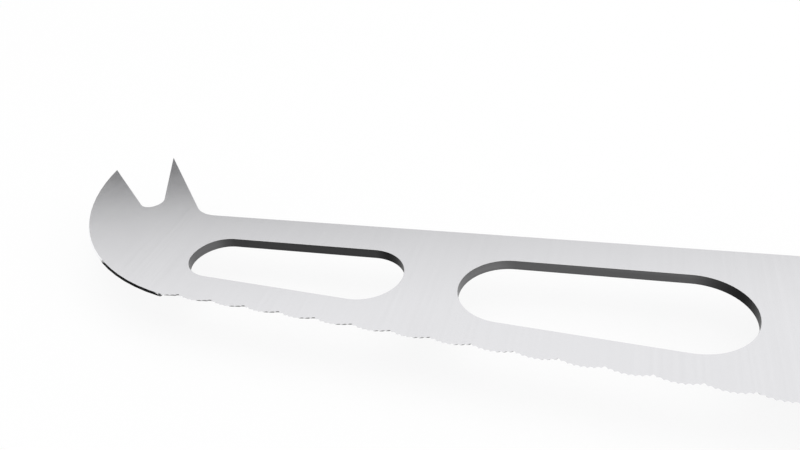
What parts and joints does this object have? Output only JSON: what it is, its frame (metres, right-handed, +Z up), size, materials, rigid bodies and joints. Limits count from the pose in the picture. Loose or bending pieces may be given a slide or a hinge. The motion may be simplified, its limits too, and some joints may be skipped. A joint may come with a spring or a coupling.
{
  "type": "cheese knife",
  "caption": "Soft cheese knife lying on its side: slotted steel blade with forked tip and scalloped, finely toothed edge, full tang between riveted scales and bolsters.",
  "frame": {"origin": "on the flat outer face of the right scale, midway between the first and second rivets and halfway up the handle, where the knife rests", "axes": "+X along the spine from the fork to the butt, +Y from the cutting edge to the spine, +Z up through the blade to its left face"},
  "size_m": [0.2543, 0.0525, 0.017],
  "materials": {
    "blade_steel": "satin, finely brushed across the blade",
    "bolster_steel": "polished",
    "scale_plastic": "satin black",
    "rivet_steel": "ground flush and polished"
  },
  "bodies": {
    "root": {"blade": "blade_steel", "bolster_left": "bolster_steel", "bolster_right": "bolster_steel", "scale_left": "scale_plastic", "scale_right": "scale_plastic", "bolster_pin_1": "bolster_steel", "bolster_pin_2": "bolster_steel", "rivet_1_post": "rivet_steel", "rivet_2_post": "rivet_steel", "rivet_3_post": "rivet_steel", "rivet_1_sleeve": "rivet_steel", "rivet_2_sleeve": "rivet_steel", "rivet_3_sleeve": "rivet_steel"}
  },
  "joints": []
}
